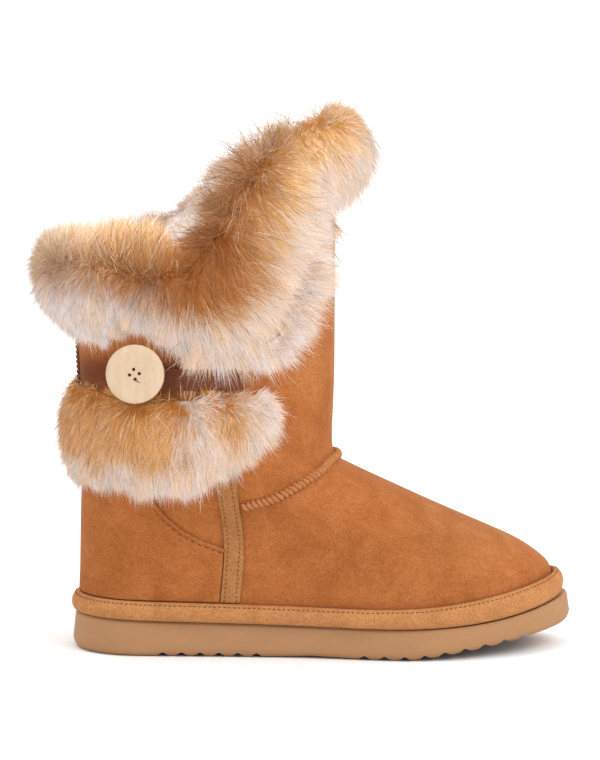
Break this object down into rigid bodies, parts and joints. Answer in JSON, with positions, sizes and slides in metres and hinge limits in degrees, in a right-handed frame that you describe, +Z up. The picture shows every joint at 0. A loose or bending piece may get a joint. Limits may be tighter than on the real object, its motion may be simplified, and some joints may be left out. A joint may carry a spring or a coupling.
{
  "type": "snow boot",
  "caption": "Short pull-on suede snow boot for the right foot, with a deep fur collar over a V-cut top line, a fur band, a wooden button on a strap and a grooved foam sole.",
  "frame": {"origin": "on the floor, on the flat of the outsole under the middle of the heel", "axes": "+X to the toe, +Y to the inner side of the right foot (the wearer's left), +Z up from the floor"},
  "size_m": [0.2858, 0.1348, 0.2915],
  "materials": {
    "suede": "matt brushed suede",
    "trim_suede": "matt brushed suede, a little lighter",
    "sole_foam": "satin moulded foam",
    "footbed": "pile fabric",
    "thread": "matt thread",
    "fur": "long soft hair, tan over cream",
    "wood": "pale turned wood, satin"
  },
  "bodies": {
    "root": {"outsole": "sole_foam", "insole": "footbed", "upper": "suede", "binding": "trim_suede", "heel_counter": "suede", "side_tape_outer": "trim_suede", "side_tape_inner": "trim_suede", "instep_seam": "thread", "back_seam": "thread", "fur_collar": "fur", "fur_band": "fur", "strap": "suede", "button": "wood"}
  },
  "joints": []
}
